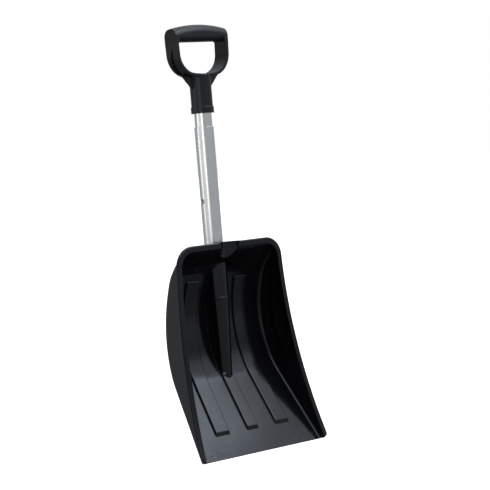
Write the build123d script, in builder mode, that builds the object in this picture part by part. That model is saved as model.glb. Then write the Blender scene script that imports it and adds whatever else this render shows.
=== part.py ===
# Avalanche shovel: moulded scoop, telescoping aluminium shaft and D-grip.
# Frame (mm): origin at the middle of the digging edge, +Z up along the shaft,
# -Y out of the scoop's mouth, X across the blade.
import os
from math import atan, cos, radians, sqrt, tan

from build123d import *

os.makedirs("parts", exist_ok=True)

# ---------------------------------------------------------------- driving dimensions
LEAD = 75.0             # shaft axis behind the digging edge

# scoop
WALL = 3.0              # shell thickness
EDGE_Y = -1.8           # front of the pan at the digging edge
BEND_Y, BEND_Z = 72.5, 120.0        # pan turns from the straight lower part to the curve
DEEP_Y, DEEP_Z, PAN_R = 89.3, 198.0, 184.0     # deepest point of the pan and its curve there
EASE = 7.0              # how far the pan's bends are rounded up and down
TOP_Y, TOP_Z = 69.7, 280.0          # pan meets the sloping top wall
MOUTH_Y, MOUTH_TOP = 37.0, 316.7    # top wall reaches the rim
HALF_BOTTOM, HALF_TOP = 117.0, 98.3     # inside half widths at the rim's plane, z = 0 and MOUTH_TOP
CORNER_R = 23.0         # inside corner of the mouth
DRAFT = 8.0             # side walls flare this many degrees towards the mouth
FILLET_LOW, FILLET_HIGH = 4.0, 7.0      # inside, between the pan and the walls, low and high up
FILLET_LOW_Z, FILLET_HIGH_Z = 140.0, 240.0
RIM_Y, RIM_Z, RIM_R = 37.5, 285.0, 840.0    # side view of the rim: one large arc
TIP_R = 5.0             # side walls' lower front corner, seen from the side
TOE_R = 13.0            # lower corners of the flange, seen from the front
LIP_W, LIP_T = 9.0, 3.2     # flange round the rim
LIP_ROUND = 2.2         # its front outer edge
NOTCH_R, NOTCH_Y = 19.0, 32.0       # upright round notch in the middle of the rim

# pan ribs
RIB_H = 3.4
RIB_SIDE, RIB_ROUND = 1.1, 1.4      # side draft over the rib's height, rounding of its front edges
RIB_LOW, RIB_HIGH = 33.0, 268.0
RIB_W = 28.5
RIB_X_LOW, RIB_X_HIGH = 62.0, 48.5      # middles of the outer ribs at their two ends
MID_RIB_W, MID_RIB_HIGH = 23.0, 125.0
GROOVE_INSET, GROOVE_SHORT = 2.5, 4.0   # rear grooves against the ribs: narrower, shorter

# socket for the shaft
SOCKET_TOP = 306.0
SOCKET_R = 17.2
RING_Z, RING_W, RING_R = 238.0, 3.4, 18.5
TAPER_TOP_R, TAPER_LOW_R = 16.8, 12.3
NOSE_Z = 113.0

# shaft
LOWER_R, LOWER_WALL = 15.0, 1.4
LOWER_TOP = 506.0
SWAGE_Z, SWAGE_END_Z, SWAGE_END_R = 242.0, 114.0, 10.4
SLIDE_GAP = 0.07        # radial, between the two tubes
UPPER_WALL = 1.2
UPPER_LOW, UPPER_TOP = 246.0, 574.0
STROKE = 120.0          # the button clears the lower tube's top edge

# D-grip
COLLAR_LOW, COLLAR_H, COLLAR_R = 527.4, 10.0, 18.0
NECK_R, NECK_TOP = 16.9, 587.0
GRIP_DEPTH = 28.0
WINDOW_LOW, WINDOW_TOP = 588.5, 638.7
WINDOW_HALF, ARM_T = 48.3, 4.7
CROWN_TOP, CROWN_END = 665.3, 659.2
FLAT_HALF, FLAT_RISE = 25.0, 2.0        # window's nearly flat floor
CURVE_X, CURVE_RISE = 40.5, 12.5        # middle of the curve between the floor and the arms
ARM_X, ARM_RISE = 47.4, 30.0            # arms start here
CROWN_ROUND, WINDOW_CORNER = 12.0, 2.5
BAR_ROUND = 8.0         # lower edges of the hand bar
GROOVE_DEPTH, GROOVE_HALF, GROOVE_RISE = 2.4, 8.5, 44.0     # groove down the arms' outside
GUSSET_T, GUSSET_X, GUSSET_Z = 4.5, 38.4, 565.3

# spring button
BUTTON_R = 3.7
BUTTON_TRAVEL = 4.0     # outwards, from pressed in to snapped out
TIP_ABOVE = 0.3         # the extended button's lower side over the lower tube's top edge
BUTTON_HOLE_R = 4.0     # in the lower tube
FLANGE_R, FLANGE_T = 5.0, 0.8
LEAF_W, LEAF_T = 6.5, 0.8
LEAF_BEND_R = 4.2       # bends of the spring's strip

# fasteners
RIVET_Z, RIVET_R, RIVET_HEAD_R, RIVET_SEAT_R = 119.0, 1.6, 2.8, 11.9
SCREW_Z, SCREW_R, SCREW_HEAD_R, SCREW_SEAT_R = 558.0, 2.0, 3.8, 15.6
SCREW_HEAD_H, SCREW_L = 2.0, 7.0

# ---------------------------------------------------------------- derived
UPPER_R = LOWER_R - LOWER_WALL - SLIDE_GAP
UPPER_BORE_R = UPPER_R - UPPER_WALL
BUTTON_Z = LOWER_TOP - STROKE + BUTTON_R + TIP_ABOVE
BUTTON_TIP = UPPER_R - 0.05             # pressed in, just inside the upper tube's outside
FLANGE_STOP = sqrt(UPPER_BORE_R**2 - FLANGE_R**2) - SLIDE_GAP   # flange's face when snapped out
LEAF_FACE = FLANGE_STOP - FLANGE_T - BUTTON_TRAVEL      # flange's back when pressed in
FAR = 160.0             # past every face of the scoop
FRONT_Y = -25.0         # in front of the whole rim
BELOW, MIDWAY, ABOVE = -20.0, 170.0, 350.0      # heights under, halfway up and over the scoop
SLOPE = (HALF_BOTTOM - HALF_TOP) / MOUTH_TOP
FLARE = tan(radians(DRAFT)) * (MOUTH_Y - FRONT_Y)   # growth of the mouth from its plane to FRONT_Y
TOE_X = HALF_BOTTOM + LIP_W + tan(radians(DRAFT)) * MOUTH_Y   # flange's half width at the tips
SHAFT_AXIS = Axis((0, LEAD, 0), (0, 0, 1))
SHAFT_FRONT = Plane.XZ.offset(-LEAD)        # upright plane through the shaft, drawn from the front
MOUTH = Plane(origin=(0, FRONT_Y, 0), x_dir=(-1, 0, 0), z_dir=(0, 1, 0))
UP_FROM = (Align.CENTER, Align.CENTER, Align.MIN)
DOWN_FROM = (Align.CENTER, Align.CENTER, Align.MAX)
RIVET_SIDE = -sqrt(0.5)     # the rivet points forwards and to the left by equal amounts
rivet_seat = Plane(
    origin=(RIVET_SIDE * RIVET_SEAT_R, LEAD + RIVET_SIDE * RIVET_SEAT_R, RIVET_Z),
    x_dir=(0, 0, 1),
    z_dir=(RIVET_SIDE, RIVET_SIDE, 0),
)
screw_seat = Plane(origin=(0, LEAD + SCREW_SEAT_R, SCREW_Z), x_dir=(1, 0, 0), z_dir=(0, 1, 0))
button_plane = Plane(origin=(0, LEAD, BUTTON_Z), x_dir=(0, 0, 1), z_dir=(-1, 0, 0))


def level(z):
    """Horizontal plane centred on the shaft."""
    return Plane((0, LEAD, z))


def rim_y(z):
    """Front of the rim at a height."""
    return RIM_Y - RIM_R + sqrt(RIM_R**2 - (z - RIM_Z) ** 2)


# ---------------------------------------------------------------- scoop building blocks
def mouth_outline(grow):
    """Front view of the scoop's inside at FRONT_Y, grown outwards."""
    below = -60.0
    low = HALF_BOTTOM + FLARE - SLOPE * below
    high = HALF_TOP + FLARE
    top = MOUTH_TOP + FLARE
    with BuildSketch(MOUTH) as outline:
        with BuildLine():
            Polyline((-low, below), (low, below), (high, top), (-high, top), close=True)
        make_face()
        fillet(outline.vertices().group_by(Axis.Z)[-1], CORNER_R + FLARE)
        if grow:
            offset(amount=grow)
    return outline.sketch


def pan_y(z):
    """Front of the pan at a height, before its bends are eased."""
    if z < BEND_Z:
        return EDGE_Y + (BEND_Y - EDGE_Y) * z / BEND_Z
    if z < TOP_Z:
        return DEEP_Y - PAN_R + sqrt(PAN_R**2 - (z - DEEP_Z) ** 2)
    return TOP_Y + (MOUTH_Y - TOP_Y) * (z - TOP_Z) / (MOUTH_TOP - TOP_Z)


def eased_pan_y(z):
    """Front of the pan with its bends rounded."""
    return (pan_y(z - EASE) + 2 * pan_y(z) + pan_y(z + EASE)) / 4


def wall_fillet(z):
    """Inside rounding between the pan and the side walls, larger near the top."""
    share = (z - FILLET_LOW_Z) / (FILLET_HIGH_Z - FILLET_LOW_Z)
    return FILLET_LOW + (FILLET_HIGH - FILLET_LOW) * min(1, max(0, share))


def half_width(z, grow):
    """Inside half width at the mouth's plane, with the round upper corners."""
    past_corner = max(0, z - (MOUTH_TOP - CORNER_R))
    radius = CORNER_R + grow
    return HALF_BOTTOM - SLOPE * z + grow - radius + sqrt(radius**2 - past_corner**2)


def scoop_section(z, grow):
    """Level cut through the scoop's inside: flared sides, rounded into the pan."""
    lean = atan((eased_pan_y(z + 1) - eased_pan_y(z - 1)) / 2)
    back = eased_pan_y(z) + grow / cos(lean)
    flare = tan(radians(DRAFT))
    front_half = half_width(z, grow) + flare * (MOUTH_Y - FRONT_Y)
    back_half = half_width(z, grow) - flare * (back - MOUTH_Y)
    with BuildSketch(Plane.XY.offset(z)) as section:
        with BuildLine():
            Polyline(
                (-front_half, FRONT_Y),
                (-back_half, back),
                (back_half, back),
                (front_half, FRONT_Y),
                close=True,
            )
        make_face()
        fillet(section.vertices().group_by(Axis.Y)[-1], wall_fillet(z) + grow)
    return section.sketch


def scoop_block(grow):
    """Solid that fills the scoop, grown by a wall on every side."""
    top = MOUTH_TOP + grow
    levels = [20.0 * step for step in range(-1, 15)]
    levels += [top - drop for drop in (28, 20, 13, 7, 3, 0.6)]
    with BuildPart() as block:
        loft([scoop_section(z, grow) for z in levels])
    return block.part


def behind_rim(shift, low, tip_r):
    """Everything behind the rim's arc and above a height, moved back by a shift."""
    with BuildPart() as keep:
        with BuildSketch(Plane.YZ) as side:
            with BuildLine():
                ThreePointArc(
                    (rim_y(low) + shift, low),
                    (rim_y(MIDWAY) + shift, MIDWAY),
                    (rim_y(ABOVE) + shift, ABOVE),
                )
                Polyline(
                    (rim_y(ABOVE) + shift, ABOVE), (FAR, ABOVE), (FAR, low), (rim_y(low) + shift, low)
                )
            make_face()
            if tip_r:
                fillet(side.vertices().sort_by_distance((0, rim_y(low) + shift, low))[0], tip_r)
        extrude(amount=FAR, both=True)
    return keep.part


def rib_prism(inset, low, high):
    """The three pan ribs seen from the front, as upright prisms."""
    with BuildPart() as prism:
        with BuildSketch(Plane.XZ.offset(-FAR)):
            for side in (-1, 1):
                half = RIB_W / 2 - inset
                x_low = side * RIB_X_LOW
                x_high = side * RIB_X_HIGH
                with BuildLine():
                    Polyline(
                        (x_low - half, low),
                        (x_low + half, low),
                        (x_high + half, high),
                        (x_high - half, high),
                        close=True,
                    )
                make_face()
            middle = MID_RIB_W / 2 - inset
            with BuildLine():
                Polyline(
                    (-middle, low),
                    (middle, low),
                    (middle, MID_RIB_HIGH),
                    (-middle, MID_RIB_HIGH),
                    close=True,
                )
            make_face()
        extrude(amount=FAR + 15)
    return prism.part


def rib_layer(inset, low, high, outer, inner):
    """Ribs between two depths of the pan's surface."""
    with BuildPart() as layer:
        add(scoop_block(outer))
        add(scoop_block(inner), mode=Mode.SUBTRACT)
        add(rib_prism(inset, low, high), mode=Mode.INTERSECT)
    return layer.part


def rib_section(z, middle, width):
    """Level cut through one rib: drafted sides, rounded front edges, back inside the wall."""
    lean = atan((eased_pan_y(z + 1) - eased_pan_y(z - 1)) / 2)
    back = eased_pan_y(z) + WALL / 2
    front = eased_pan_y(z) - RIB_H / cos(lean)
    base = width / 2
    face = base - RIB_SIDE
    with BuildSketch(Plane.XY.offset(z)) as section:
        with BuildLine():
            Polyline(
                (middle - face, front),
                (middle - base, eased_pan_y(z)),
                (middle - base, back),
                (middle + base, back),
                (middle + base, eased_pan_y(z)),
                (middle + face, front),
                close=True,
            )
        make_face()
        fillet(section.vertices().group_by(Axis.Y)[0], RIB_ROUND)
    return section.sketch


def rib(x_low, x_high, high, width):
    """One pan rib from RIB_LOW to a height; its lower end is an upright face."""
    steps = 12
    start = RIB_LOW - 8
    levels = [start + (high - start) * step / steps for step in range(steps + 1)]
    tilt = (x_high - x_low) / (RIB_HIGH - RIB_LOW)
    with BuildPart() as solid:
        loft([rib_section(z, x_low + tilt * (z - RIB_LOW), width) for z in levels])
        with BuildSketch(Plane.XY.offset(RIB_LOW - 10)):
            with Locations((0, pan_y(RIB_LOW))):
                Rectangle(2 * FAR, FAR, align=(Align.CENTER, Align.MAX))
        extrude(amount=2 * FAR, mode=Mode.SUBTRACT)
    return solid.part


# ---------------------------------------------------------------- shaft building blocks
def tube_solid(inset, top):
    """Lower tube's outside, or its inside when inset by the wall: straight, then swaged."""
    with BuildPart() as solid:
        with BuildSketch(SHAFT_FRONT):
            with BuildLine():
                Polyline(
                    (0, SWAGE_END_Z),
                    (SWAGE_END_R - inset, SWAGE_END_Z),
                    (LOWER_R - inset, SWAGE_Z),
                    (LOWER_R - inset, top),
                    (0, top),
                    close=True,
                )
            make_face()
        revolve(axis=SHAFT_AXIS)
    return solid.part


# ---------------------------------------------------------------- blade
with BuildPart() as lip:
    extrude(mouth_outline(LIP_W), amount=FAR, taper=DRAFT)
    add(behind_rim(0, BELOW, 0), mode=Mode.INTERSECT)
    add(behind_rim(LIP_T, BELOW, 0), mode=Mode.SUBTRACT)
    lip_front = lip.faces().sort_by(SortBy.AREA)[-2:].sort_by(Axis.Y)[0]
    fillet(lip_front.edges().filter_by(lambda edge: edge.center().Z > 0), LIP_ROUND)

# front view of the whole scoop below the top: rounded toes
with BuildPart() as toes:
    with BuildSketch(Plane.XZ) as toe_outline:
        Rectangle(2 * TOE_X, 2 * FAR + TOE_R, align=(Align.CENTER, Align.MIN))
        fillet(toe_outline.vertices().group_by(Axis.Z)[0], TOE_R)
    extrude(amount=FAR, both=True)

with BuildPart() as socket_body:
    with BuildSketch(SHAFT_FRONT):
        with BuildLine():
            Polyline(
                (0, NOSE_Z - 6),
                (TAPER_LOW_R - 4, NOSE_Z - 4),
                (TAPER_LOW_R - 0.6, NOSE_Z),
                (TAPER_LOW_R, NOSE_Z + 6),
                (TAPER_TOP_R, RING_Z - RING_W / 2),
                (RING_R, RING_Z - RING_W / 2),
                (RING_R, RING_Z + RING_W / 2),
                (SOCKET_R, RING_Z + RING_W / 2),
                (SOCKET_R, SOCKET_TOP),
                (0, SOCKET_TOP),
                close=True,
            )
        make_face()
    revolve(axis=SHAFT_AXIS)

with BuildPart() as socket_sides:
    with BuildSketch(SHAFT_FRONT):
        with BuildLine():
            Polyline(
                (-TAPER_LOW_R, NOSE_Z + 6),
                (TAPER_LOW_R, NOSE_Z + 6),
                (TAPER_TOP_R, RING_Z),
                (SOCKET_R, RING_Z),
                (SOCKET_R, TOP_Z - 20),
                (-SOCKET_R, TOP_Z - 20),
                (-SOCKET_R, RING_Z),
                (-TAPER_TOP_R, RING_Z),
                close=True,
            )
        make_face()
    extrude(amount=-20)
    add(scoop_block(WALL), mode=Mode.INTERSECT)

with BuildPart() as blade:
    add(scoop_block(WALL))
    add(lip.part)
    with Locations((0, NOTCH_Y, MOUTH_TOP)):
        Cylinder(NOTCH_R + WALL, 40)
    add(behind_rim(0, 0, TIP_R), mode=Mode.INTERSECT)
    add(toes.part, mode=Mode.INTERSECT)
    # the notch's shell stays only between the lip's top and the outside of the top wall
    with BuildSketch(Plane.XY.offset(MOUTH_TOP + LIP_W)):
        Rectangle(2 * FAR, 2 * FAR)
    extrude(amount=FAR, mode=Mode.SUBTRACT)
    add(scoop_block(0), mode=Mode.SUBTRACT)
    with Locations((0, NOTCH_Y, MOUTH_TOP)):
        Cylinder(NOTCH_R, 60, mode=Mode.SUBTRACT)
    for side in (-1, 1):
        add(rib(side * RIB_X_LOW, side * RIB_X_HIGH, RIB_HIGH, RIB_W))
    add(rib(0, 0, MID_RIB_HIGH, MID_RIB_W))
    # the grooves behind the ribs stop short of the ribs' ends, to leave a wall there too
    add(
        rib_layer(
            GROOVE_INSET,
            RIB_LOW + GROOVE_SHORT,
            RIB_HIGH - GROOVE_SHORT,
            WALL + 0.2,
            WALL - RIB_H,
        ),
        mode=Mode.SUBTRACT,
    )
    add(socket_body.part)
    add(socket_sides.part)
    # bore that takes the swaged end of the lower tube
    add(tube_solid(0, SOCKET_TOP + 10), mode=Mode.SUBTRACT)
    # rivet hole with a flat seat for the head
    with Locations(rivet_seat):
        Cylinder(RIVET_R, 8, mode=Mode.SUBTRACT)
        Cylinder(RIVET_HEAD_R + 0.2, 4, align=UP_FROM, mode=Mode.SUBTRACT)
blade.part.label = "blade"
export_step(blade.part, "parts/blade.step")

# ---------------------------------------------------------------- shaft
with BuildPart() as lower_tube:
    add(tube_solid(0, LOWER_TOP))
    chamfer(lower_tube.edges().group_by(Axis.Z)[-1], 0.35)
    add(tube_solid(LOWER_WALL, LOWER_TOP + 1), mode=Mode.SUBTRACT)
    with BuildSketch(level(SWAGE_END_Z)):
        Circle(SWAGE_END_R - LOWER_WALL)
    extrude(amount=LOWER_WALL, both=True, mode=Mode.SUBTRACT)
    with Locations(button_plane):
        Cylinder(BUTTON_HOLE_R, LOWER_R + 5, align=UP_FROM, mode=Mode.SUBTRACT)
    with Locations(rivet_seat):
        Cylinder(RIVET_R, 8, mode=Mode.SUBTRACT)
lower_tube.part.label = "lower_tube"
export_step(lower_tube.part, "parts/lower_tube.step")

with BuildPart() as upper_tube:
    with BuildSketch(level(UPPER_LOW)):
        Circle(UPPER_R)
        Circle(UPPER_R - UPPER_WALL, mode=Mode.SUBTRACT)
    extrude(amount=UPPER_TOP - UPPER_LOW)
    with Locations(button_plane):
        Cylinder(BUTTON_R + 0.1, LOWER_R + 5, align=UP_FROM, mode=Mode.SUBTRACT)
    with Locations(screw_seat):
        Cylinder(SCREW_R, 10, mode=Mode.SUBTRACT)
upper_tube.part.label = "upper_tube"
export_step(upper_tube.part, "parts/upper_tube.step")

# ---------------------------------------------------------------- rivet in the socket's nose
TAIL_FROM = RIVET_SEAT_R - 8.8      # the set tail starts this far under the head
rivet_axis = Axis(rivet_seat.origin, rivet_seat.z_dir)
with BuildPart(rivet_seat) as blade_rivet:
    Cylinder(RIVET_HEAD_R, 1.3, align=UP_FROM)
    fillet(blade_rivet.faces().sort_by(rivet_axis)[-1].edges(), 1.1)
    Cylinder(RIVET_R, TAIL_FROM + 1.5, align=DOWN_FROM)
    with Locations((0, 0, -TAIL_FROM)):
        Cylinder(RIVET_R + 0.7, 1.5, align=DOWN_FROM)
blade_rivet.part.label = "blade_rivet"
export_step(blade_rivet.part, "parts/blade_rivet.step")

# ---------------------------------------------------------------- spring button, pressed in
with BuildPart(button_plane) as snap_button:
    with Locations((0, 0, LEAF_FACE)):
        Cylinder(FLANGE_R, FLANGE_T, align=UP_FROM)
        Cylinder(BUTTON_R, BUTTON_TIP - LEAF_FACE, align=UP_FROM)
    fillet(snap_button.edges().group_by(Axis.X)[0], 2.0)
snap_button.part.label = "snap_button"
export_step(snap_button.part, "parts/snap_button.step")

with BuildPart() as button_spring:
    leaf_x = -LEAF_FACE + LEAF_T / 2
    back_x = UPPER_BORE_R - LEAF_T
    with BuildSketch(SHAFT_FRONT):
        with BuildLine():
            FilletPolyline(
                (leaf_x, BUTTON_Z + 8),
                (leaf_x, BUTTON_Z - 10),
                (-5, BUTTON_Z - 40),
                (5, BUTTON_Z - 40),
                (back_x, BUTTON_Z - 14),
                (back_x, BUTTON_Z + 8),
                radius=LEAF_BEND_R,
            )
        trace(line_width=LEAF_T)
    extrude(amount=LEAF_W / 2, both=True)
button_spring.part.label = "button_spring"
export_step(button_spring.part, "parts/button_spring.step")

# ---------------------------------------------------------------- D-grip


def window_outline(grow):
    """Front view of the grip's window, grown outwards."""
    with BuildSketch(SHAFT_FRONT) as window:
        floor_z = WINDOW_LOW + FLAT_RISE
        curve_z = WINDOW_LOW + CURVE_RISE
        arm_z = WINDOW_LOW + ARM_RISE
        with BuildLine():
            ThreePointArc((-FLAT_HALF, floor_z), (0, WINDOW_LOW), (FLAT_HALF, floor_z))
            ThreePointArc((FLAT_HALF, floor_z), (CURVE_X, curve_z), (ARM_X, arm_z))
            Polyline(
                (ARM_X, arm_z),
                (WINDOW_HALF, WINDOW_TOP),
                (-WINDOW_HALF, WINDOW_TOP),
                (-ARM_X, arm_z),
            )
            ThreePointArc((-ARM_X, arm_z), (-CURVE_X, curve_z), (-FLAT_HALF, floor_z))
        make_face()
        if grow:
            offset(amount=grow)
        else:
            fillet(window.vertices().group_by(Axis.Z)[-1], WINDOW_CORNER)
    return window.sketch


# groove down the outside of both arms, widening towards the neck
with BuildPart() as arm_grooves:
    extrude(window_outline(ARM_T + 4), amount=GRIP_DEPTH, both=True)
    extrude(
        window_outline(ARM_T - GROOVE_DEPTH), amount=GRIP_DEPTH, both=True, mode=Mode.SUBTRACT
    )
    with BuildSketch(Plane.YZ):
        with BuildLine():
            Polyline(
                (LEAD - GROOVE_HALF, WINDOW_LOW - 12),
                (LEAD + GROOVE_HALF, WINDOW_LOW - 12),
                (LEAD + GROOVE_HALF - 0.5, WINDOW_LOW + 6),
                (LEAD, WINDOW_LOW + GROOVE_RISE),
                (LEAD - GROOVE_HALF + 0.5, WINDOW_LOW + 6),
                close=True,
            )
        make_face()
    extrude(amount=2 * WINDOW_HALF, both=True, mode=Mode.INTERSECT)

with BuildPart() as d_grip:
    outer_half = WINDOW_HALF + ARM_T
    with BuildSketch(SHAFT_FRONT):
        add(window_outline(ARM_T))
        with BuildLine():
            ThreePointArc((-outer_half, CROWN_END), (0, CROWN_TOP), (outer_half, CROWN_END))
            Polyline(
                (outer_half, CROWN_END),
                (outer_half, WINDOW_TOP - 4),
                (-outer_half, WINDOW_TOP - 4),
                (-outer_half, CROWN_END),
            )
        make_face()
    extrude(amount=GRIP_DEPTH / 2, both=True)
    crown = d_grip.faces().sort_by(Axis.Z)[-1]
    fillet(crown.edges().filter_by(GeomType.CIRCLE), CROWN_ROUND)
    extrude(window_outline(0), amount=GRIP_DEPTH, both=True, mode=Mode.SUBTRACT)
    # the hand bar's lower edges are rounded between the arms
    for side in (-1, 1):
        face_y = LEAD + side * GRIP_DEPTH / 2
        with BuildSketch(Plane.YZ):
            with Locations((face_y - side * BAR_ROUND / 2, WINDOW_TOP + BAR_ROUND / 2)):
                Rectangle(BAR_ROUND, BAR_ROUND)
            with Locations((face_y - side * BAR_ROUND, WINDOW_TOP + BAR_ROUND)):
                Circle(BAR_ROUND, mode=Mode.SUBTRACT)
        extrude(amount=WINDOW_HALF - WINDOW_CORNER, both=True, mode=Mode.SUBTRACT)
    add(arm_grooves.part, mode=Mode.SUBTRACT)
    # gusset webs from the neck out to the arms
    with BuildSketch(SHAFT_FRONT):
        for side in (-1, 1):
            with BuildLine():
                Polyline(
                    (0, GUSSET_Z),
                    (side * NECK_R, GUSSET_Z),
                    (side * GUSSET_X, WINDOW_LOW + 1),
                    (side * 20, WINDOW_LOW - 1),
                    (0, WINDOW_LOW - 1),
                    close=True,
                )
            make_face()
    extrude(amount=GUSSET_T / 2, both=True)
    with BuildSketch(level(COLLAR_LOW + 1)):
        Circle(NECK_R)
    extrude(amount=NECK_TOP - COLLAR_LOW - 1)
    with BuildSketch(level(COLLAR_LOW)):
        Circle(COLLAR_R)
    extrude(amount=COLLAR_H)
    with BuildSketch(level(COLLAR_LOW)):
        Circle(UPPER_R)
    extrude(amount=UPPER_TOP - COLLAR_LOW, mode=Mode.SUBTRACT)
    with Locations(screw_seat):
        Cylinder(SCREW_R, 10, mode=Mode.SUBTRACT)
        Cylinder(SCREW_HEAD_R, 5, align=UP_FROM, mode=Mode.SUBTRACT)
        Cone(SCREW_R, SCREW_HEAD_R, SCREW_HEAD_H, align=DOWN_FROM, mode=Mode.SUBTRACT)
d_grip.part.label = "d_grip"
export_step(d_grip.part, "parts/d_grip.step")

# ---------------------------------------------------------------- screw at the rear of the neck
with BuildPart(screw_seat) as grip_screw:
    Cone(SCREW_R, SCREW_HEAD_R, SCREW_HEAD_H, align=DOWN_FROM)
    Cylinder(SCREW_R, SCREW_L, align=DOWN_FROM)
    with Locations((0, 0, -SCREW_L)):
        Cone(0.3, SCREW_R, 2, align=DOWN_FROM)
    Box(4, 0.9, 1.6, mode=Mode.SUBTRACT)
    Box(0.9, 4, 1.6, mode=Mode.SUBTRACT)
grip_screw.part.label = "grip_screw"
export_step(grip_screw.part, "parts/grip_screw.step")
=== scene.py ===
import math

import bpy
from mathutils import Matrix, Vector


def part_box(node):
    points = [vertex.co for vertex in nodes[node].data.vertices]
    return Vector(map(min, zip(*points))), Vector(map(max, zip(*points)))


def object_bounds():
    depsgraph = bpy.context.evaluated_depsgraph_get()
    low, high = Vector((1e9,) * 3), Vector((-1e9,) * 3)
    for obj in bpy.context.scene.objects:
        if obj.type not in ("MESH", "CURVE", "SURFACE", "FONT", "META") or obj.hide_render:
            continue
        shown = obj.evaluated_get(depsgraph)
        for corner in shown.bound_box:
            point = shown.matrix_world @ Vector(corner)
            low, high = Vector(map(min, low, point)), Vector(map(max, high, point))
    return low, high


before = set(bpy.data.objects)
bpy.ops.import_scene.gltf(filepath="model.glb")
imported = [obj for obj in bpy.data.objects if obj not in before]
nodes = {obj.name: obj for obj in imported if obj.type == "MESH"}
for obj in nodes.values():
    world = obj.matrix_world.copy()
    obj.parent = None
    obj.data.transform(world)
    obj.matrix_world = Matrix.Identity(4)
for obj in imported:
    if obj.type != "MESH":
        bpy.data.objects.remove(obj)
cad_low, cad_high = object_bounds()

# ---------------------------------------------------------------- camera and studio values
CAMERA_HEADING = math.radians(41.68)    # turned from +Y towards +X
CAMERA_DIP = math.radians(2.73)
CAMERA_ROLL = math.radians(-4.75)
CAMERA_PLACE = Vector((-1.939, -2.176, 0.4586))
LENS_MM, SENSOR_MM = 139.6, 36.0

FLOOR_HALF = 30.0
FLOOR_GLOW = 0.85       # the floor's own light, which keeps it nearly white
WORN_FROM, WORN_TO = 0.004, 0.035   # height over the digging edge over which its wear fades


# ---------------------------------------------------------------- node helpers
def node_tools(owner):
    """Empties the node tree of a material or world; returns a node maker and a linker."""
    owner.use_nodes = True
    tree = owner.node_tree
    tree.nodes.clear()

    def make(kind, **values):
        node = tree.nodes.new(kind)
        for key, value in values.items():
            if hasattr(node, key):
                setattr(node, key, value)
            else:
                node.inputs[key.replace("_", " ")].default_value = value
        return node

    def link(source, target):
        tree.links.new(source, target)

    return make, link


def new_material(name):
    """Empty node material; returns the material, a node maker and a linker."""
    material = bpy.data.materials.new(name)
    return material, *node_tools(material)


def stretched(make, link, scale):
    """Object coordinates scaled by a vector, for grain that runs along an axis."""
    place = make("ShaderNodeTexCoord")
    mapping = make("ShaderNodeMapping")
    mapping.inputs["Scale"].default_value = scale
    link(place.outputs["Object"], mapping.inputs["Vector"])
    return mapping.outputs["Vector"]


def noise(make, link, scale, detail=3.0, stretch=(1, 1, 1)):
    """Noise value on object coordinates; scale is in cells per metre."""
    texture = make("ShaderNodeTexNoise", Scale=scale, Detail=detail)
    link(stretched(make, link, stretch), texture.inputs["Vector"])
    return texture.outputs["Fac"]


def spread(make, link, value, low, high, start=0.3, end=0.7):
    """Maps a value from start..end to low..high; the defaults suit a noise value."""
    ramp = make("ShaderNodeMapRange")
    ramp.inputs["From Min"].default_value = start
    ramp.inputs["From Max"].default_value = end
    ramp.inputs["To Min"].default_value = low
    ramp.inputs["To Max"].default_value = high
    link(value, ramp.inputs["Value"])
    return ramp.outputs["Result"]


def blend_colours(make, link, factor, first, second):
    """Colour between two by a factor socket."""
    mix = make("ShaderNodeMix", data_type="RGBA")
    mix.inputs["A"].default_value = (*first, 1)
    mix.inputs["B"].default_value = (*second, 1)
    link(factor, mix.inputs["Factor"])
    return mix.outputs["Result"]


def add_values(make, link, first, second):
    """Sum of two value sockets."""
    total = make("ShaderNodeMath", operation="ADD")
    link(first, total.inputs[0])
    link(second, total.inputs[1])
    return total.outputs[0]


def soft_edges(make, radius):
    """Normal that rounds the mould's sharp edges."""
    return make("ShaderNodeBevel", samples=6, Radius=radius).outputs["Normal"]


def bump(make, link, height, distance, strength=1.0, below=None):
    """Bump from a height socket, in metres, stacked on the one below."""
    node = make("ShaderNodeBump", Strength=strength, Distance=distance)
    link(height, node.inputs["Height"])
    if below is not None:
        link(below, node.inputs["Normal"])
    return node.outputs["Normal"]


def moulded_plastic(name, dark, light, gloss, rough, grain, wave, edge):
    """Black moulded plastic: flow marks, faint sink marks, fine grain, handling scuffs, and
    more wear towards the digging edge."""
    material, make, link = new_material(name)
    shader = make("ShaderNodeBsdfPrincipled", Metallic=0.0, IOR=1.5)
    shader.inputs["Specular Tint"].default_value = (0.90, 0.94, 1.0, 1)
    output = make("ShaderNodeOutputMaterial")
    flow = noise(make, link, 14.0, 4.0, (1, 1, 0.35))
    fine = noise(make, link, 1400.0, 2.0)
    scuff = noise(make, link, 160.0, 5.0, (1, 1, 0.06))
    sink = noise(make, link, 22.0, 1.0)
    colour = blend_colours(make, link, spread(make, link, flow, 0, 1), dark, light)
    link(colour, shader.inputs["Base Color"])
    patch = spread(make, link, flow, gloss, rough)
    mark = spread(make, link, scuff, 0.0, 0.16, 0.62, 0.8)
    # scratches from digging, only on the lowest few centimetres
    split = make("ShaderNodeSeparateXYZ")
    link(make("ShaderNodeTexCoord").outputs["Object"], split.inputs[0])
    near_edge = spread(make, link, split.outputs["Z"], 1.0, 0.0, WORN_FROM, WORN_TO)
    digging = noise(make, link, 420.0, 4.0, (1, 1, 0.12))
    scratch = spread(make, link, digging, 0.0, 0.22, 0.5, 0.72)
    worn = make("ShaderNodeMath", operation="MULTIPLY_ADD")
    link(near_edge, worn.inputs[0])
    link(scratch, worn.inputs[1])
    link(add_values(make, link, patch, mark), worn.inputs[2])
    link(worn.outputs[0], shader.inputs["Roughness"])
    relief = bump(make, link, sink, wave, 1.0, soft_edges(make, edge))
    relief = bump(make, link, fine, grain, 1.0, relief)
    link(relief, shader.inputs["Normal"])
    link(shader.outputs[0], output.inputs["Surface"])
    return material


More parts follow.
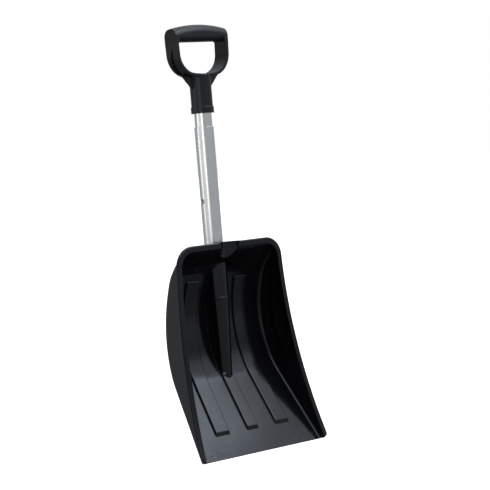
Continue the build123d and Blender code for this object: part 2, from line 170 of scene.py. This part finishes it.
def drawn_metal(name, colour, shade, rough_low, rough_high, line_depth):
    """Drawn aluminium: fine lines along the tube, light handling marks, uneven gloss."""
    material, make, link = new_material(name)
    shader = make("ShaderNodeBsdfPrincipled", Metallic=1.0)
    output = make("ShaderNodeOutputMaterial")
    lines = noise(make, link, 900.0, 3.0, (1, 1, 0.004))
    bands = noise(make, link, 220.0, 2.0, (1, 1, 0.01))
    cloud = noise(make, link, 30.0, 3.0)
    link(
        blend_colours(make, link, spread(make, link, bands, 0, 1), colour, shade),
        shader.inputs["Base Color"],
    )
    rough = spread(make, link, lines, rough_low, rough_high)
    patch = spread(make, link, cloud, 0.0, 0.03)
    link(add_values(make, link, rough, patch), shader.inputs["Roughness"])
    link(bump(make, link, lines, line_depth, 1.0), shader.inputs["Normal"])
    link(shader.outputs[0], output.inputs["Surface"])
    return material


def plated_metal(name, colour, shade, rough_low, rough_high):
    """Small plated steel part: clouded plating and fine scratches."""
    material, make, link = new_material(name)
    shader = make("ShaderNodeBsdfPrincipled", Metallic=1.0)
    output = make("ShaderNodeOutputMaterial")
    cloud = noise(make, link, 500.0, 4.0)
    scratch = noise(make, link, 2500.0, 2.0, (1, 0.1, 1))
    link(
        blend_colours(make, link, spread(make, link, cloud, 0, 1), colour, shade),
        shader.inputs["Base Color"],
    )
    link(spread(make, link, scratch, rough_low, rough_high), shader.inputs["Roughness"])
    link(bump(make, link, scratch, 0.00001, 1.0), shader.inputs["Normal"])
    link(shader.outputs[0], output.inputs["Surface"])
    return material


def finish_node(node, material):
    """Gives every material slot of a CAD node the finish."""
    for slot in nodes[node].material_slots:
        slot.material = material


# ---------------------------------------------------------------- finishes
# per node: maker, material name, its two colours, roughness range, then the depths in metres
# of fine grain or drawn lines, sink marks, and the radius of softened edges
FINISHES = {
    "blade": (
        moulded_plastic,
        ("blade_gloss", (0.0008, 0.0008, 0.0011), (0.0018, 0.0018, 0.0023)),
        (0.11, 0.15, 0.000002, 0.00002, 0.0014),
    ),
    "d_grip": (
        moulded_plastic,
        ("grip_satin", (0.0010, 0.0011, 0.0015), (0.0022, 0.0023, 0.0029)),
        (0.28, 0.36, 0.000006, 0.00002, 0.0015),
    ),
    "lower_tube": (
        drawn_metal,
        ("lower_drawn", (0.92, 0.93, 0.93), (0.86, 0.87, 0.885)),
        (0.20, 0.27, 0.000002),
    ),
    "upper_tube": (
        drawn_metal,
        ("upper_drawn", (0.94, 0.95, 0.94), (0.89, 0.90, 0.91)),
        (0.16, 0.22, 0.0000015),
    ),
    "snap_button": (
        plated_metal,
        ("button_plate", (0.78, 0.78, 0.76), (0.66, 0.66, 0.65)),
        (0.12, 0.24),
    ),
    "button_spring": (
        plated_metal,
        ("spring_steel", (0.42, 0.43, 0.46), (0.33, 0.34, 0.37)),
        (0.26, 0.4),
    ),
    "blade_rivet": (
        plated_metal,
        ("rivet_alloy", (0.20, 0.20, 0.21), (0.12, 0.12, 0.13)),
        (0.3, 0.45),
    ),
    "grip_screw": (
        plated_metal,
        ("screw_zinc", (0.56, 0.56, 0.55), (0.46, 0.46, 0.46)),
        (0.22, 0.36),
    ),
}
for node, (maker, colouring, surface) in FINISHES.items():
    finish_node(node, maker(*colouring, *surface))

# ---------------------------------------------------------------- studio
view_dir = Vector(
    (
        math.sin(CAMERA_HEADING) * math.cos(CAMERA_DIP),
        math.cos(CAMERA_HEADING) * math.cos(CAMERA_DIP),
        -math.sin(CAMERA_DIP),
    )
)
level_right = Vector((math.cos(CAMERA_HEADING), -math.sin(CAMERA_HEADING), 0))
level_back = Vector((math.sin(CAMERA_HEADING), math.cos(CAMERA_HEADING), 0))
_, blade_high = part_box("blade")
tube_low, tube_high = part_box("lower_tube")
pan_low = Vector((0, 0.03, 0.06))       # on the pan's straight lower part
tube_middle = (tube_low + tube_high) / 2
tube_bare = Vector((tube_middle.x, tube_middle.y, (blade_high.z + tube_high.z) / 2))


def softbox(name, anchor, swing, rise, distance, width, height, radiance, tint):
    """Area light facing an anchor point. swing is the angle from the camera's side of it
    towards its right, rise the elevation, and radiance what a mirror there would show."""
    swing, rise = math.radians(swing), math.radians(rise)
    level = level_right * math.sin(swing) - level_back * math.cos(swing)
    toward = level * math.cos(rise) + Vector((0, 0, math.sin(rise)))
    data = bpy.data.lights.new(name, "AREA")
    data.shape = "RECTANGLE"
    data.size = width
    data.size_y = height
    data.energy = radiance * math.pi * width * height
    data.color = tint
    lamp = bpy.data.objects.new(name, data)
    lamp.location = anchor + toward * distance
    lamp.rotation_euler = toward.to_track_quat("Z", "Y").to_euler()
    lamp.visible_camera = False
    bpy.context.scene.collection.objects.link(lamp)
    return lamp


COOL, WARM, NEUTRAL = (0.80, 0.88, 1.0), (1.0, 0.985, 0.90), (1.0, 1.0, 0.97)
softbox("softbox_right", pan_low, 77.5, 54, 2.4, 1.34, 1.44, 2.35, COOL)
softbox("softbox_skirt", pan_low, 76, 31, 2.4, 1.5, 0.9, 0.42, COOL)
shaft_lamps = (
    softbox("strip_front", tube_bare, -18, 3, 1.4, 0.46, 0.42, 1.6, WARM),
    softbox("strip_left", tube_bare, -79, 3, 1.2, 0.42, 0.4, 0.72, WARM),
    softbox("fill_left", tube_bare, -58, 2, 1.6, 1.9, 0.44, 0.42, NEUTRAL),
)
softbox("key_front", pan_low, 40, 36, 2.2, 1.4, 0.7, 1.0, COOL)

# the shaft's lamps are flagged off the scoop, so that they don't show in its inner walls
flagged = bpy.data.collections.new("flagged_off")
flagged.objects.link(nodes["blade"])
for lamp in shaft_lamps:
    lamp.light_linking.receiver_collection = flagged
for member in flagged.collection_objects:
    member.light_linking.link_state = "EXCLUDE"

# what the surroundings show from straight down (0) over the horizon (0.5) to straight up (1):
# dim around, bright overhead
SKY = (
    (0.0, 0.08),
    (0.38, 0.22),
    (0.44, 0.36),
    (0.50, 0.38),
    (0.60, 0.30),
    (0.66, 0.45),
    (0.77, 0.8),
    (0.82, 1.1),
    (1.0, 1.4),
)
SKY_TINT = (0.92, 0.96, 1.0)
AWAY_LEVEL, AWAY_FROM, AWAY_TO = 0.55, -0.3, 0.2    # dimming of the side away from the softbox
ABOVE_FROM, ABOVE_TO = 0.02, 0.2                    # height over which that dimming fades in

world = bpy.data.worlds.new("studio")
bpy.context.scene.world = world
make, link = node_tools(world)
where = make("ShaderNodeTexCoord")
split = make("ShaderNodeSeparateXYZ")
link(where.outputs["Generated"], split.inputs[0])
ramp = make("ShaderNodeValToRGB")
while len(ramp.color_ramp.elements) < len(SKY):
    ramp.color_ramp.elements.new(1.0)
for element, (at, level) in zip(ramp.color_ramp.elements, SKY):
    element.position = at
    element.color = (*(level * part for part in SKY_TINT), 1)
link(spread(make, link, split.outputs["Z"], 0.0, 1.0, -1.0, 1.0), ramp.inputs["Fac"])
# above the horizon the side away from the softbox is dimmer
aim = make("ShaderNodeVectorMath", operation="DOT_PRODUCT")
aim.inputs[1].default_value = level_right
link(where.outputs["Generated"], aim.inputs[0])
away = spread(make, link, aim.outputs["Value"], AWAY_LEVEL, 1.0, AWAY_FROM, AWAY_TO)
above = spread(make, link, split.outputs["Z"], 0.0, 1.0, ABOVE_FROM, ABOVE_TO)
dim = make("ShaderNodeMix", A=1.0)
link(above, dim.inputs["Factor"])
link(away, dim.inputs["B"])
lit = make("ShaderNodeBackground")
link(ramp.outputs["Color"], lit.inputs["Color"])
link(dim.outputs["Result"], lit.inputs["Strength"])

# the camera itself sees plain white
seen = make("ShaderNodeBackground", Color=(1, 1, 1, 1))
choose = make("ShaderNodeMixShader")
link(make("ShaderNodeLightPath").outputs["Is Camera Ray"], choose.inputs[0])
link(lit.outputs[0], choose.inputs[1])
link(seen.outputs[0], choose.inputs[2])
link(choose.outputs[0], make("ShaderNodeOutputWorld").inputs["Surface"])

floor_mesh = bpy.data.meshes.new("floor")
corners = ((-1, -1), (1, -1), (1, 1), (-1, 1))
floor_mesh.from_pydata(
    [(x * FLOOR_HALF, y * FLOOR_HALF, cad_low.z) for x, y in corners],
    [],
    [(0, 1, 2, 3)],
)
floor = bpy.data.objects.new("floor", floor_mesh)
bpy.context.scene.collection.objects.link(floor)
floor_look, make, link = new_material("floor_white")
shader = make("ShaderNodeBsdfPrincipled", Roughness=0.7)
shader.inputs["Base Color"].default_value = (0.9, 0.9, 0.9, 1)
shader.inputs["Emission Color"].default_value = (1, 1, 1, 1)
shader.inputs["Emission Strength"].default_value = FLOOR_GLOW
link(shader.outputs[0], make("ShaderNodeOutputMaterial").inputs["Surface"])
floor_mesh.materials.append(floor_look)
floor.visible_glossy = False

# ---------------------------------------------------------------- camera
tilted_up = level_right.cross(view_dir)
camera_right = level_right * math.cos(CAMERA_ROLL) + tilted_up * math.sin(CAMERA_ROLL)
camera_up = tilted_up * math.cos(CAMERA_ROLL) - level_right * math.sin(CAMERA_ROLL)
camera_data = bpy.data.cameras.new("camera")
camera_data.sensor_width = SENSOR_MM
camera_data.lens = LENS_MM
camera = bpy.data.objects.new("camera", camera_data)
turn = Matrix((camera_right, camera_up, -view_dir)).transposed()
camera.matrix_world = Matrix.Translation(CAMERA_PLACE) @ turn.to_4x4()
bpy.context.scene.collection.objects.link(camera)
bpy.context.scene.camera = camera
bpy.context.scene.view_settings.view_transform = "Standard"
